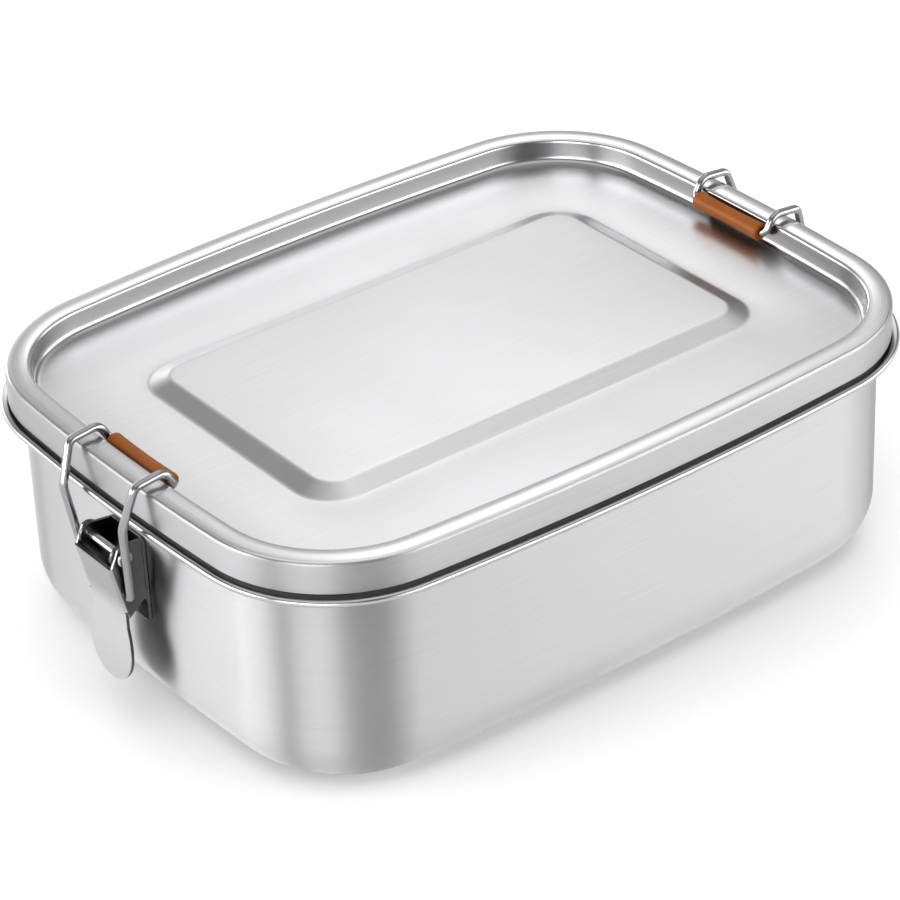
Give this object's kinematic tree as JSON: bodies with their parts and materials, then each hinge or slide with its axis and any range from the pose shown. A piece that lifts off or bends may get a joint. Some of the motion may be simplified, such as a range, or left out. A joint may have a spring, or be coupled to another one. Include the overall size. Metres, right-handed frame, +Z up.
{
  "type": "latched metal lunch box",
  "caption": "Rectangular stainless steel lunch box with rounded corners, a sunk lid with a raised centre panel, and an over-centre wire latch at each short end.",
  "frame": {"origin": "centre of the base, on the surface that the box stands on", "axes": "+X towards the right latch, along the box's length, +Y across its width, +Z up"},
  "size_m": [0.21, 0.1534, 0.0701],
  "materials": {
    "brushed_steel": "fine brushed grain",
    "latch_steel": "rolled sheet, satin",
    "wire_steel": "drawn wire, semi-bright",
    "orange_silicone": "smooth satin silicone",
    "grey_silicone": "satin silicone"
  },
  "bodies": {
    "box": {"tub": "brushed_steel", "bracket_left": "latch_steel", "bracket_right": "latch_steel", "hinge_pin_left": "latch_steel", "hinge_pin_right": "latch_steel"},
    "lid": {"lid": "brushed_steel", "lid_seal": "grey_silicone"},
    "latch_lever_left": {"lever_left": "latch_steel"},
    "latch_lever_right": {"lever_right": "latch_steel"},
    "latch_bail_left": {"bail_left": "wire_steel", "sleeve_left": "orange_silicone"},
    "latch_bail_right": {"bail_right": "wire_steel", "sleeve_right": "orange_silicone"}
  },
  "joints": [
    {"name": "lever_left_turn", "type": "hinge", "parent": "box", "child": "latch_lever_left", "pos_m": [-0.1009, 0, 0.0466], "axis": [0, 1, 0], "range_deg": [0, 120]},
    {"name": "bail_left_swing", "type": "hinge", "parent": "latch_lever_left", "child": "latch_bail_left", "pos_m": [-0.101, 0, 0.0363], "axis": [0, 1, 0], "range_deg": [-320, 0], "deforming": ["bail_left", "sleeve_left"]},
    {"name": "lever_right_turn", "type": "hinge", "parent": "box", "child": "latch_lever_right", "pos_m": [0.1009, 0, 0.0466], "axis": [0, -1, 0], "range_deg": [0, 120]},
    {"name": "bail_right_swing", "type": "hinge", "parent": "latch_lever_right", "child": "latch_bail_right", "pos_m": [0.101, 0, 0.0363], "axis": [0, -1, 0], "range_deg": [-320, 0], "deforming": ["bail_right", "sleeve_right"]},
    {"name": "lid_lift", "type": "slide", "parent": "box", "child": "lid", "axis": [0, 0, 1], "range_m": [0, 0.09]}
  ],
  "couplings": [
    {"joint": "bail_left_swing", "follows": "lever_left_turn", "ratio": -2.6667},
    {"joint": "bail_right_swing", "follows": "lever_right_turn", "ratio": -2.6667}
  ]
}
